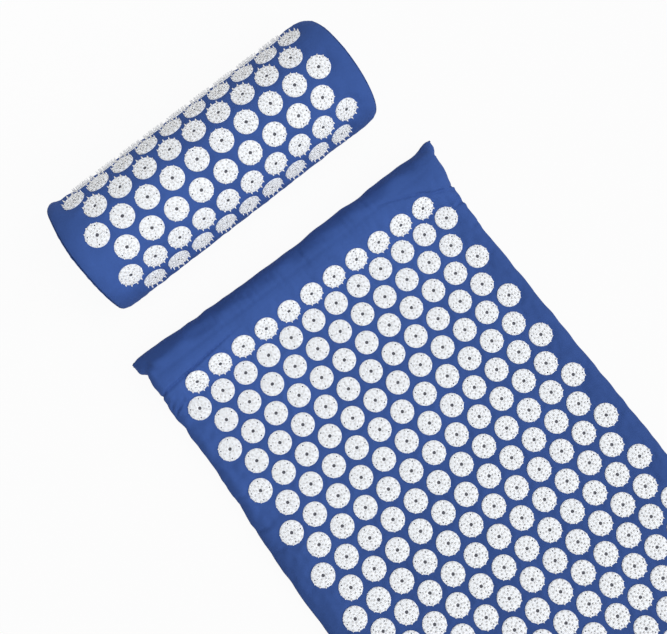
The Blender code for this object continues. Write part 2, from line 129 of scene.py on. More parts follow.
# In tenths of a millimetre: the mat's outline at its seam, as (place along, place across) for the sides and
# (across, along) for the head edge
TENTH_MM = 0.0001
LEFT_EDGE = (
    (-3175, -2045), (-2850, -2045), (-2200, -2058), (-1200, -2082), (-400, -2102), (80, -2108),
    (230, -2099), (390, -2102), (540, -2096), (640, -2088), (750, -2093), (860, -2086), (950, -2074),
    (1010, -2082), (1120, -2074), (1210, -2059), (1260, -2049), (1370, -2056), (1480, -2054),
    (1525, -2044), (1580, -2050), (1690, -2042), (1800, -2039), (1910, -2042), (2130, -2048),
    (2240, -2045), (2290, -2036), (2350, -2044), (2410, -2052), (2530, -2057), (2580, -2053),
    (2626, -2039), (2680, -2041), (2790, -2030), (2850, -2037), (2900, -2034), (2950, -2023),
    (3000, -2016), (3019, -2021), (3036, -2027), (3046, -2038), (3055, -2053), (3068, -2072),
    (3076, -2081), (3088, -2088), (3104, -2094), (3125, -2096), (3194, -2099), (3219, -2095),
    (3240, -2085),
)
RIGHT_EDGE = (
    (-3175, 2045), (-2850, 2045), (-1500, 2048), (500, 2048), (2016, 2047), (2100, 2053), (2185, 2061),
    (2274, 2061), (2322, 2057), (2358, 2069), (2390, 2068), (2405, 2060), (2432, 2070), (2481, 2084),
    (2569, 2088), (2600, 2092), (2612, 2090), (2623, 2071), (2636, 2079), (2659, 2089), (2740, 2101),
    (2821, 2115), (2901, 2128), (2984, 2140), (3030, 2139), (3057, 2164), (3083, 2189), (3118, 2204),
    (3161, 2208), (3205, 2210), (3240, 2206),
)
HEAD_EDGE = (
    (-2102, 3215), (-2095, 3226), (-2067, 3244), (-2026, 3257), (-1986, 3260), (-1853, 3254),
    (-1742, 3251), (-1630, 3249), (-1523, 3241), (-1421, 3226), (-1304, 3230), (-1195, 3222),
    (-1077, 3228), (-969, 3220), (-749, 3207), (-632, 3209), (-409, 3199), (-292, 3202), (-181, 3195),
    (-6, 3196), (165, 3191), (283, 3193), (407, 3202), (705, 3207), (880, 3205), (990, 3195), (1165, 3190),
    (1290, 3199), (1529, 3199), (1705, 3196), (1940, 3190), (2003, 3194), (2079, 3214), (2151, 3227),
    (2190, 3222), (2206, 3212),
)
# Where the top starts to turn down towards the head edge, as (across, along)
HEAD_CROWN = (
    (-2120, 2990), (-1500, 2990), (-740, 2985), (-200, 2980), (300, 2970), (900, 2960), (1300, 2950),
    (1600, 2960), (1950, 2985), (2210, 3000),
)
# Creases in the top cloth: points along each, with depth and half-width
CREASES = (
    (((-2020, 2715), (-1852, 2733), (-1562, 2748), (-1360, 2773), (-1100, 2796), (-849, 2821)), 46, 16),
    (((2100, 2549), (2017, 2581), (1903, 2639), (1759, 2696), (1615, 2779), (1479, 2841), (1309, 2907),
      (1099, 2978)), 34, 18),
    (((-2020, 2540), (-1981, 2571), (-1857, 2637)), 28, 15),
    (((-2020, 2460), (-1984, 2489), (-1861, 2538), (-1803, 2594)), 28, 15),
    (((2091, 2398), (2031, 2419), (1930, 2409)), 32, 17),
    (((2085, 2622), (2035, 2632), (1960, 2660)), 28, 16),
    (((2088, 2107), (1988, 2127), (1907, 2102)), 20, 18),
    (((-2050, 1340), (-1950, 1310), (-1850, 1320)), 18, 18),
    (((-2060, 913), (-1939, 883), (-1829, 898)), 26, 18),
    (((-2074, 628), (-1964, 603), (-1855, 617)), 22, 18),
)


def smooth_step(value):
    share = np.clip(value, 0.0, 1.0)
    return share * share * (3.0 - 2.0 * share)


def rise(value, start, span):
    """0 to 1 as the value goes from start over span."""
    return smooth_step((value - start) / span)


def points_of(x, y, z):
    """Points from their x, y and z, each a number or an array."""
    return np.stack(np.broadcast_arrays(x, y, z), axis=-1)


def along_points(points, at):
    """Reads a table of points at many places, as a smooth line."""
    table = np.array(points) * TENTH_MM
    fine = np.linspace(table[0, 0], table[-1, 0], 1200)
    line = np.interp(fine, table[:, 0], table[:, 1])
    reach = max(int(0.0010 / (fine[1] - fine[0])), 1)
    kernel = np.hanning(2 * reach + 3)[1:-1]
    padded = np.concatenate([np.full(reach, line[0]), line, np.full(reach, line[-1])])
    return np.interp(at, fine, np.convolve(padded, kernel / kernel.sum(), mode="valid"))


def noise_at(points, scale, seed):
    """Smooth noise from -1 to 1 at many points."""
    shift = Vector((seed * 7.31, seed * 3.17, seed * 5.71))
    values = [noise.noise(Vector(p) * scale + shift) for p in points.reshape(-1, 3)]
    return np.array(values).reshape(points.shape[:-1])


def grid_normals(points):
    """Unit normals of a grid of points, facing up when rows run +Y and points +X."""
    normals = np.cross(np.gradient(points, axis=1), np.gradient(points, axis=0))
    return normals / np.maximum(np.linalg.norm(normals, axis=2, keepdims=True), 1e-12)


def add_object(name, data):
    item = bpy.data.objects.new(name, data)
    bpy.context.scene.collection.objects.link(item)
    return item


def mesh_from(name, points, faces, materials, place=None, crisp=None):
    """A smooth-shaded mesh. Edges sharper than crisp, in degrees, stay crisp."""
    mesh = bpy.data.meshes.new(name)
    mesh.from_pydata(np.reshape(points, (-1, 3)).tolist(), [], faces)
    mesh.validate()
    for material in materials:
        mesh.materials.append(material)
    mesh.shade_smooth()
    if crisp:
        mesh.set_sharp_from_angle(angle=math.radians(crisp))
    item = add_object(name, mesh)
    if place:
        item.matrix_world = place
    return item


def flipped(faces):
    return [tuple(reversed(face)) for face in faces]


def grid_faces(rows, columns, hole=None):
    """Quads of a grid, without those for which hole(row, column) is true."""
    faces = []
    for i in range(rows - 1):
        for j in range(columns - 1):
            if hole is None or not hole(i, j):
                a = i * columns + j
                faces.append((a, a + 1, a + columns + 1, a + columns))
    return faces


def tube_faces(rings, count, capped=True):
    """Quads between closed rings of points, and a face over each end."""
    faces = []
    for i in range(rings - 1):
        for k in range(count):
            a, b = i * count + k, i * count + (k + 1) % count
            faces.append((a, b, b + count, a + count))
    if capped:
        faces.append(tuple(reversed(range(count))))
        faces.append(tuple(range((rings - 1) * count, rings * count)))
    return faces


def settle(points, gap, held, slack, highest):
    """Lets a coarse sheet swell and rumple between the discs and the other places that hold it.
    Returns each point's move along the normal, capped, and small beside a disc."""
    rows, columns = points.shape[:2]
    sheet = mesh_from("settling", points * SETTLE_SCALE, grid_faces(rows, columns), [])
    group = sheet.vertex_groups.new(name="held")
    group.add([int(k) for k in np.flatnonzero(held | (gap < SETTLE_HELD_GAP))], 1.0, "REPLACE")
    cloth = sheet.modifiers.new("cloth", "CLOTH")
    cloth.settings.quality = 6
    cloth.settings.vertex_group_mass = "held"
    cloth.settings.bending_stiffness = 0.2
    cloth.settings.shrink_min = -slack
    cloth.settings.use_pressure = True
    cloth.settings.uniform_pressure_force = SETTLE_PRESSURE
    cloth.settings.effector_weights.gravity = 0.0
    cloth.point_cache.frame_end = SETTLE_FRAMES
    for step in range(1, SETTLE_FRAMES + 1):
        bpy.context.scene.frame_set(step)
    done = sheet.evaluated_get(bpy.context.evaluated_depsgraph_get())
    places = np.zeros(points.size)
    done.data.vertices.foreach_get("co", places)
    places = places.reshape(points.shape) / SETTLE_SCALE
    bpy.data.objects.remove(sheet)
    bpy.context.scene.frame_set(1)
    move = np.sum((places - points) * grid_normals(points), axis=2)
    move = np.clip(move, SETTLE_LOWEST, highest)
    return np.minimum(move, 0.25 * np.maximum(gap, 0.0) + 0.0001)


def spread(values, rows, columns, at_rows, at_columns):
    """Values of a coarse grid, read off at the rows and columns of a fine one."""
    across = np.stack([np.interp(at_columns, columns, line) for line in values])
    return np.stack([np.interp(at_rows, rows, line) for line in across.T], axis=1)


def thicken(item):
    shell = item.modifiers.new("thickness", "SOLIDIFY")
    shell.thickness = CLOTH
    shell.offset = -1.0


# Materials
THREAD = 0.00055
# the length of cloth over which the painted shade ramp runs
PAINTED_SHADE_REACH = 0.64


def feed(tree, node, inputs):
    """Sets a node's inputs, or links those whose value is another node's output."""
    for key, value in inputs.items():
        if isinstance(value, bpy.types.NodeSocket):
            tree.links.new(value, node.inputs[key])
        else:
            node.inputs[key].default_value = value


def new_material(name):
    material = bpy.data.materials.new(name)
    material.use_nodes = True
    tree = material.node_tree
    return material, tree, tree.nodes["Principled BSDF"]


def add(tree, kind, inputs, **settings):
    """Adds a node and returns its outputs."""
    node = tree.nodes.new(kind)
    for key, value in settings.items():
        setattr(node, key, value)
    feed(tree, node, inputs)
    return node.outputs


def own_place(tree):
    return add(tree, "ShaderNodeTexCoord", {})["Object"]


def texture(tree, kind, place, scale, **inputs):
    return add(tree, f"ShaderNodeTex{kind}", {"Vector": place, "Scale": scale, **inputs})[0]


def math_node(tree, operation, *values):
    return add(tree, "ShaderNodeMath", dict(enumerate(values)), operation=operation)[0]


def weighted(tree, first, first_share, second, second_share):
    return math_node(tree, "ADD", math_node(tree, "MULTIPLY", first, first_share),
                     math_node(tree, "MULTIPLY", second, second_share))


def multiplied(tree, first, second):
    """Two colours multiplied."""
    inputs = {0: 1.0, 6: first, 7: second}
    return add(tree, "ShaderNodeMix", inputs, data_type="RGBA", blend_type="MULTIPLY")[2]


def bump(tree, height, strength, distance, **inputs):
    inputs.update(Height=height, Strength=strength, Distance=distance)
    return add(tree, "ShaderNodeBump", inputs)[0]


def ramp(tree, source, stops):
    colour = add(tree, "ShaderNodeValToRGB", {0: source})[0]
    elements = tree.nodes[-1].color_ramp.elements
    for k, (place, shade) in enumerate(stops):
        stop = elements[k] if k < 2 else elements.new(place)
        stop.position = place
        stop.color = (*shade, 1.0)
    return colour


def shades(base, places, shares):
    """Stops of a ramp: lighter and darker shades of one colour."""
    return [(place, tuple(c * share for c in base)) for place, share in zip(places, shares)]


def mix_surface(tree, share, first, second):
    mixed = add(tree, "ShaderNodeMixShader", {0: share, 1: first, 2: second})
    feed(tree, tree.nodes["Material Output"], {"Surface": mixed[0]})


def seen_rays(tree):
    """1 for rays that show the background: the camera's, and those of gloss and clear parts."""
    rays = add(tree, "ShaderNodeLightPath", {})
    return math_node(tree, "MAXIMUM", rays["Is Camera Ray"], math_node(
        tree, "MAXIMUM", rays["Is Glossy Ray"], rays["Is Transmission Ray"]))


def make_cotton(name, base, painted_shade_stops, round_axis=False):
    """Plain-weave cotton. The stops given are (place, share) along the cloth, painted shade that darkens it
    where less light falls.
    round_axis lays the weave around the pillow's axis."""
    material, tree, shader = new_material(name)
    place = own_place(tree)
    across, along, up = add(tree, "ShaderNodeSeparateXYZ", {0: place})
    if round_axis:
        height = math_node(tree, "SUBTRACT", up, PILLOW_AXIS_Z)
        along = math_node(tree, "MULTIPLY", math_node(tree, "ARCTAN2", along, height), PILLOW_RADIUS)
    warp, weft = [math_node(tree, "SINE", math_node(tree, "MULTIPLY", way, math.pi / THREAD))
                  for way in (across, along)]
    over = math_node(tree, "MULTIPLY", warp, weft)
    hills = math_node(tree, "ADD", math_node(tree, "ABSOLUTE", warp), math_node(tree, "ABSOLUTE", weft))
    weave = weighted(tree, over, 0.5, hills, 0.35)

    fade = texture(tree, "Noise", place, 14.0, Detail=3.0, Roughness=0.55)
    slub = texture(tree, "Noise", place, 420.0, Detail=2.0)
    tone = weighted(tree, fade, 0.75, slub, 0.25)
    colour = ramp(tree, tone, shades(base, (0.25, 0.5, 0.78), (0.86, 1.0, 1.15)))
    woven = multiplied(tree, colour, math_node(tree, "MULTIPLY_ADD", weave, 0.055, 0.975))
    # painted shade along the cloth: the stops darken it where less light falls
    at = math_node(tree, "MULTIPLY_ADD", along, 1.0 / PAINTED_SHADE_REACH, 0.5)
    uneven = ramp(tree, at, [(0.5 + where / PAINTED_SHADE_REACH, (share, share, share)) for where, share in painted_shade_stops])

    crumple = texture(tree, "Noise", place, 55.0, Detail=4.0, Roughness=0.6)
    feed(tree, shader, {
        "Base Color": multiplied(tree, woven, uneven),
        "Normal": bump(tree, weave, 0.35, 0.00012, Normal=bump(tree, crumple, 0.28, 0.0011)),
        "Roughness": math_node(tree, "MULTIPLY_ADD", slub, 0.16, 0.76),
        "Specular IOR Level": 0.10, "Sheen Weight": 0.03, "Sheen Tint": (0.25, 0.45, 1.0, 1.0)})
    return material


def make_plastic(name, low, high, soft, depth, pass_on=0.0):
    """Moulded plastic, very slightly uneven in tone, with a satin surface.
    pass_on is the share of the lamps' light that goes through."""
    material, tree, shader = new_material(name)
    place = own_place(tree)
    cloud = texture(tree, "Noise", place, 38.0, Detail=2.0)
    grain = texture(tree, "Noise", place, 900.0, Detail=2.0)
    feed(tree, shader, {
        "Base Color": ramp(tree, cloud, ((0.3, low), (0.7, high))),
        "Normal": bump(tree, grain, 0.12, 0.00008),
        "Roughness": math_node(tree, "MULTIPLY_ADD", cloud, 0.14, 0.34),
        "Specular IOR Level": 0.30, "Subsurface Weight": soft, "Subsurface Radius": (1.0, 1.0, 1.0),
        "Subsurface Scale": depth})
    if pass_on:
        passed = math_node(tree, "MULTIPLY", add(tree, "ShaderNodeLightPath", {})["Is Shadow Ray"], pass_on)
        mix_surface(tree, passed, shader.outputs[0], add(tree, "ShaderNodeBsdfTransparent", {})[0])
    return material


def make_foam():
    """Open-cell foam with small pores."""
    material, tree, shader = new_material("pale_foam")
    place = own_place(tree)
    cloud = texture(tree, "Noise", place, 60.0, Detail=4.0)
    tone = weighted(tree, texture(tree, "Voronoi", place, 900.0), 0.5, cloud, 0.5)
    stops = ((0.2, (0.36, 0.37, 0.38)), (0.6, (0.52, 0.53, 0.54)), (0.9, (0.60, 0.61, 0.62)))
    feed(tree, shader, {
        "Base Color": ramp(tree, tone, stops), "Normal": bump(tree, tone, 0.7, 0.0006),
        "Roughness": 0.95, "Specular IOR Level": 0.1})
    return material


def make_tape(name, base, scale, depth):
    """Hook or loop tape: a ground cloth with close rows of small hooks or a brushed pile."""
    material, tree, shader = new_material(name)
    place = own_place(tree)
    cloud = texture(tree, "Noise", place, 260.0, Detail=4.0, Roughness=0.7)
    tone = weighted(tree, texture(tree, "Voronoi", place, scale), 0.6, cloud, 0.5)
    feed(tree, shader, {
        "Base Color": ramp(tree, tone, shades(base, (0.15, 0.5, 0.9), (0.6, 1.0, 1.5))),
        "Normal": bump(tree, tone, 0.9, depth), "Roughness": 0.8, "Sheen Weight": 0.2})
    return material


def make_thread():
    material, tree, shader = new_material("blue_thread")
    fibres = add(tree, "ShaderNodeTexNoise", {"Scale": 1500.0})[0]
    stops = ((0.3, (0.05, 0.11, 0.34)), (0.7, (0.08, 0.16, 0.44)))
    feed(tree, shader, {"Base Color": ramp(tree, fibres, stops), "Roughness": 0.6})
    return material


# The moulded disc. Spike rings are (number, radius, how far the tips lean out).
SPIKE_RINGS = ((12, 0.01200, 0.0011), (9, 0.00760, 0.0003), (6, 0.00425, 0.0001))
SPIKE_FOOT = 0.00112
SPIKE_SINK = 0.0003
SPIKE_WAIST = 0.68
SPIKE_WAIST_HEIGHT = 0.52
SPIKE_SIDES = 6
SPIKE_SOFTNESS = 0.96
CENTRE_HOLE = 0.00195
SMALL_HOLE = 0.00080
SMALL_HOLE_RING = 0.0104
HOLE_CAP_TOP = 0.00045
DISC_PROFILE = ((0.0, 0.00146), (CENTRE_HOLE, 0.00130), (0.0023, 0.00146), (0.0060, 0.00142),
                (0.0118, 0.00130), (0.0127, 0.00112), (DISC_RADIUS, 0.00070))


def ring_points(count, radius, centre=(0.0, 0.0), turn=0.0):
    angles = [turn + math.tau * k / count for k in range(count)]
    return [(centre[0] + radius * math.cos(a), centre[1] + radius * math.sin(a)) for a in angles]


def make_disc_template():
    """One disc: a pierced plate with a rounded rim, three rings of cones, and dark caps in its holes, pin
    ends whose dark colour paints the holes' shade.
    """
    holes = [((0.0, 0.0), CENTRE_HOLE, 14)]
    for a in (math.radians(15.0 + 90.0 * k) for k in range(4)):
        holes.append(((SMALL_HOLE_RING * math.cos(a), SMALL_HOLE_RING * math.sin(a)), SMALL_HOLE, 8))
    loops = [ring_points(40, DISC_RADIUS)] + [ring_points(n, r, c) for c, r, n in holes]
    flat = [p for loop in loops for p in loop]
    edges = []
    start = 0
    for loop in loops:
        edges += [(start + k, start + (k + 1) % len(loop)) for k in range(len(loop))]
        start += len(loop)
    for count, radius in ((40, 0.0127), (32, 0.0118), (16, 0.0060), (14, 0.0023)):
        flat += [p for p in ring_points(count, radius, turn=0.05)
                 if all(math.dist(p, c) > r + 0.0003 for c, r, n in holes[1:])]
    found = delaunay_2d_cdt([Vector(p) for p in flat], edges, [], 1, 1e-7)
    places, triangles = found[0], found[2]
    radii, heights = zip(*DISC_PROFILE)

    def kept(triangle):
        middle = sum((places[i] for i in triangle), Vector((0.0, 0.0))) / 3
        return all(math.dist(middle, c) > r * 0.93 for c, r, n in holes)

    triangles = [tuple(t) for t in triangles if kept(t)]
    count = len(places)
    points = [(p.x, p.y, float(np.interp(p.length, radii, heights))) for p in places]
    points += [(p.x, p.y, 0.0) for p in places]
    faces = triangles + flipped([tuple(i + count for i in t) for t in triangles])
    sides = {(a, b): True for t in triangles for a, b in zip(t, t[1:] + t[:1])}
    faces += [(b, a, a + count, b + count) for a, b in sides if (b, a) not in sides]
    plate_faces = len(faces)
    for order, (number, radius, lean) in enumerate(SPIKE_RINGS):
        for k in range(number):
            turn = math.tau * (k + 0.5 * (order % 2)) / number
            out = Vector((math.cos(turn), math.sin(turn)))
            foot_z = float(np.interp(radius, radii, heights)) - SPIKE_SINK
            waist_z = DISC_THICKNESS + SPIKE_HEIGHT * SPIKE_WAIST_HEIGHT
            first = len(points)
            for size, reach, z in ((1.0, radius, foot_z), (SPIKE_WAIST, radius + lean * 0.5, waist_z)):
                ring = ring_points(SPIKE_SIDES, SPIKE_FOOT * size, out * reach, turn)
                points += [(x, y, z) for x, y in ring]
            points.append((*(out * (radius + lean)), DISC_THICKNESS + SPIKE_HEIGHT))
            for m in range(SPIKE_SIDES):
                a, b = first + m, first + (m + 1) % SPIKE_SIDES
                faces.append((a, b, b + SPIKE_SIDES, a + SPIKE_SIDES))
                faces.append((a + SPIKE_SIDES, b + SPIKE_SIDES, first + 2 * SPIKE_SIDES))
            faces.append(tuple(reversed(range(first, first + SPIKE_SIDES))))
    spike_faces = len(faces) - plate_faces
    # dark caps down in the holes: guessed pin ends, dark to paint the shade inside the holes
    for centre, radius, number in holes:
        first = len(points)
        points += [(x, y, HOLE_CAP_TOP) for x, y in ring_points(number, radius * 1.04, centre)]
        faces.append(tuple(range(first, first + number)))
    parts = np.repeat([0, 1, 2], [plate_faces, spike_faces, len(holes)])
    return np.array(points), faces, parts


DISC_POINTS, DISC_FACES, DISC_PARTS = make_disc_template()


def make_disc_row(name, node, places, materials):
    """All the discs of one row as one piece. An upright disc's spikes are shaded mostly like its plate."""
    points, faces, axes = [], [], []
    for k, place in enumerate(places):
        matrix = np.array(place)
        points.append(DISC_POINTS @ matrix[:3, :3].T + matrix[:3, 3])
        axes.append(matrix[:3, 2])
        shift = k * len(DISC_POINTS)
        faces += [tuple(i + shift for i in face) for face in DISC_FACES]
    item = mesh_from(name, np.concatenate(points), faces, materials, crisp=40)
    mesh = item.data
    parts = np.tile(DISC_PARTS, len(places))
    mesh.polygons.foreach_set("material_index", parts)
    corners = np.zeros(len(mesh.loops) * 3)
    mesh.corner_normals.foreach_get("vector", corners)
    corners = corners.reshape(-1, 3)
    sizes = np.zeros(len(mesh.polygons), dtype=int)
    mesh.polygons.foreach_get("loop_total", sizes)
    axis = np.repeat(np.repeat(np.array(axes), len(DISC_FACES), axis=0), sizes, axis=0)
    upright = rise(axis[:, 2:], 0.2, 0.7)
    soft = np.repeat(parts == 1, sizes)[:, None] * SPIKE_SOFTNESS * upright
    corners = corners * (1.0 - soft) + axis * soft
    corners /= np.maximum(np.linalg.norm(corners, axis=1, keepdims=True), 1e-9)
    mesh.normals_split_custom_set(corners.tolist())
    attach(item, "base")
    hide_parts(node)


# Mat surface
def mat_top_height(y):
    """Height of the top cloth along the mat's middle, before the head edge turns down."""
    slope = math.tan(FIRST_ROW_TILT)
    climb = np.clip(y - CREASE_Y, 0.0, SLOPE_TOP_Y - CREASE_Y) * slope
    ease = CROWN_Y - SLOPE_TOP_Y
    share = np.clip((y - SLOPE_TOP_Y) / ease, 0.0, 1.0)
    return FIELD_HEIGHT + climb + slope * ease * (share - share * share / 2)


def row_steps(row, long_row, pitch):
    """Places of a row's discs from its middle. Every other row has one disc less, so they are staggered."""
    count = long_row - 1 + row % 2
    return [(k - (count - 1) / 2) * pitch for k in range(count)]


def places_in_row(seat, row, long_row, pitch):
    return [seat @ Matrix.Translation((x, 0.0, 0.0)) @ Matrix.Rotation((row + k) * GOLDEN_TURN, 4, "Z")
            for k, x in enumerate(row_steps(row, long_row, pitch))]


def mat_disc_places():
    """Place of every disc, row by row from the head end."""
    rows = []
    for row in range(MAT_ROWS):
        y = FIRST_ROW_Y if row == 0 else SECOND_ROW_Y - (row - 1) * ROW_PITCH
        tilt = Matrix.Rotation(FIRST_ROW_TILT if row == 0 else 0.0, 4, "X")
        seat = Matrix.Translation((0.0, y, float(mat_top_height(y)))) @ tilt
        rows.append(places_in_row(seat, row, LONG_ROW, DISC_PITCH))
    return rows


def distance_to_discs(x, y, centres):
    """Distance from each point to the nearest disc's rim, negative under a disc."""
    nearest = np.full(x.shape, 1.0)
    for cx, cy in centres:
        nearest = np.minimum(nearest, np.hypot(x - cx, y - cy))
    return nearest - DISC_RADIUS


def crease_depth(x, y):
    """How deep the sewn-in creases press the cloth at each point."""
    depth = np.zeros(x.shape)
    for points, deep, half in CREASES:
        table = np.array(points) * TENTH_MM
        last = len(table) - 1.0
        fine = np.linspace(0.0, last, 80)
        line = np.stack([np.interp(fine, range(len(table)), table[:, k]) for k in (0, 1)], axis=1)
        fading = np.sin(np.pi * np.clip(0.25 + 0.75 * fine / last, 0.0, 1.0)) ** 0.8
        best = np.zeros(x.shape)
        for (cx, cy), share in zip(line, fading):
            gap = np.hypot(x - cx, y - cy) / (half * TENTH_MM)
            best = np.maximum(best, share * np.exp(-gap * gap))
        depth = depth + best * (deep * TENTH_MM)
    return depth


def row_stations(fine, head_fine):
    """Places along the mat, closer together at the mouth."""
    fall_end = FLAP_FALL_FROM_Y - FLAP_FALL
    foot = [FOOT_Y, FOOT_Y + 0.0010, FOOT_Y + 0.0030]
    lip = np.arange(FOOT_Y + 0.0060, fall_end, 0.0030)
    fall = np.linspace(fall_end, HINGE_TO_Y - 0.0010, 7)
    fold = [HINGE_TO_Y, -0.2860, HINGE_Y, -0.2848, HINGE_FROM_Y]
    body, head = np.arange(-0.2825, FINE_FROM_Y, fine), np.arange(FINE_FROM_Y, FINE_TO_Y, head_fine)
    return np.concatenate([foot, lip, fall, fold, body, head])


class MatGrid:
    """Points of the mat's upper or lower cloth, as rows from foot to head.
    Columns are -1 to 1 over the flat and reach 2 at the side seams. Rows are places along, then 1 to 2 over
    the head edge. The last line of points at each seam is tucked in."""

    def __init__(self, side_steps, cells_across, stations, head_steps):
        flat = np.linspace(-FLAT_HALF_WIDTH, FLAT_HALF_WIDTH, cells_across + 1)
        side = np.append(np.sin(np.linspace(0.0, math.pi / 2, side_steps + 1))[1:], 1.0)
        tuck = np.append(np.zeros(side_steps), TUCK)
        columns = np.concatenate([-1.0 - side[::-1], flat / FLAT_HALF_WIDTH, 1.0 + side])
        head = (np.linspace(0.0, 1.0, head_steps) ** 1.15)[1:]
        rows = np.concatenate([stations, 1.0 + head, [2.0]])
        self.columns, self.rows = columns, rows
        side_tuck = np.concatenate([-tuck[::-1], np.zeros(len(flat)), tuck])[None, :]
        head_tuck = np.zeros((len(rows), 1))
        head_tuck[-1] = TUCK

        across = np.clip(columns, -1.0, 1.0) * FLAT_HALF_WIDTH
        past = np.maximum(np.abs(columns) - 1.0, 0.0)
        ear = np.where(columns < 0.0, -LEFT_EDGE[-2][1], RIGHT_EDGE[-2][1]) * TENTH_MM - FLAT_HALF_WIDTH
        nominal_x = across + np.sign(columns) * past * ear
        start = stations[-1]
        edge_y = along_points(HEAD_EDGE, nominal_x)
        crown_y = np.maximum(along_points(HEAD_CROWN, nominal_x), start + 0.002)
        over = np.maximum(rows - 1.0, 0.0)[:, None]
        self.y = np.where(rows[:, None] < 1.0, rows[:, None], crown_y + (edge_y - crown_y) * over)
        # the last rows before the turn spread out to meet it
        turn_y = crown_y - 0.0016
        first = int(np.searchsorted(stations, CROWN_Y))
        for i in range(first, len(stations)):
            share = (stations[i] - stations[first]) / (start - stations[first])
            self.y[i] = stations[first] + (turn_y - stations[first]) * share
        on_body = rise(self.y[:, 0], 0.3040, -0.0020) * rise(self.y[:, 0], 0.2600, 0.0140)
        left = along_points(LEFT_EDGE, self.y[:, 0]) + 0.0009 * on_body
        right = along_points(RIGHT_EDGE, self.y[:, -1]) - 0.0004 * on_body
        widths = np.where(columns < 0.0, -FLAT_HALF_WIDTH - left[:, None], right[:, None] - FLAT_HALF_WIDTH)
        self.x = across + np.sign(columns) * widths * past

        self.side_up = np.sqrt(np.clip(1.0 - past ** 2, 0.0, 1.0))[None, :]
        self.head_up = (1.0 - np.clip(rows - 1.0, 0.0, 1.0) ** 1.7)[:, None]
        self.up = self.side_up * self.head_up
        # how much of the side's height is gone near the mouth, where the flap comes down on the lip
        self.fall = rise(self.y, FLAP_FALL_FROM_Y, -FLAP_FALL)
        self.side_tucked = side_tuck != 0
        self.head_tucked = head_tuck > 0
        self.tucked = self.side_tucked | self.head_tucked
        self.seam_x = self.x - side_tuck
        self.seam_y = self.y - head_tuck

    def points(self, z):
        return points_of(self.seam_x, self.seam_y, z)

    def pucker(self, z, head_depth, side_depth):
        """Where the cloth gathers into the side and head seams, and how far it stands out there."""
        wave_side = noise_at(points_of(self.seam_x * 0.15, self.seam_y, z * 0.2), 62.0, 3)
        wave_head = noise_at(points_of(self.seam_x, self.seam_y * 0.15, z * 0.2), 48.0, 4)
        depth = np.where(self.head_up < 0.999, wave_head * head_depth, wave_side * side_depth) - 0.0003
        return rise(self.up, 1.0, -0.9), depth


def mat_top_base(*sizes):
    """The top cloth without its bulges and creases."""
    grid = MatGrid(*sizes)
    seam = SEAM_Z + SEAM_STEP
    # the cover's corners past the foam are thin
    corner = rise(np.abs(grid.x), 0.186, 0.012) * np.where(
        grid.x < 0.0, rise(grid.y, 0.2985, 0.0080), rise(grid.y, 0.2950, 0.0200))
    z = seam + (mat_top_height(grid.y) - corner * 0.0065 - seam) * grid.up
    # the flap comes down on the lip
    low = LIP_TOP_Z - 0.0006 * (1.0 - grid.side_up)
    z = z + (low - z) * grid.fall - 0.0012 * grid.fall * grid.side_tucked
    return grid, grid.points(z)


def settled_mat_top(centres, fine):
    """How far the top cover stands out between the discs and seams that hold it, from a coarse grid."""
    body, head = np.arange(HINGE_FROM_Y, FINE_FROM_Y, 0.0046), np.arange(FINE_FROM_Y, FINE_TO_Y, 0.0040)
    coarse, points = mat_top_base(4, 92, np.concatenate([body, head]), 9)
    gap = distance_to_discs(points[:, :, 0], points[:, :, 1], centres)
    edge = (np.abs(coarse.columns) > 1.98)[None, :] | (coarse.rows > 1.98)[:, None]
    move = settle(points, gap, edge | (points[:, :, 1] < -0.2800), 0.012, 0.0020)
    move = spread(move, coarse.rows, coarse.columns, fine.rows, fine.columns)
    return move * rise(fine.rows, -0.2830, 0.0100)[:, None]


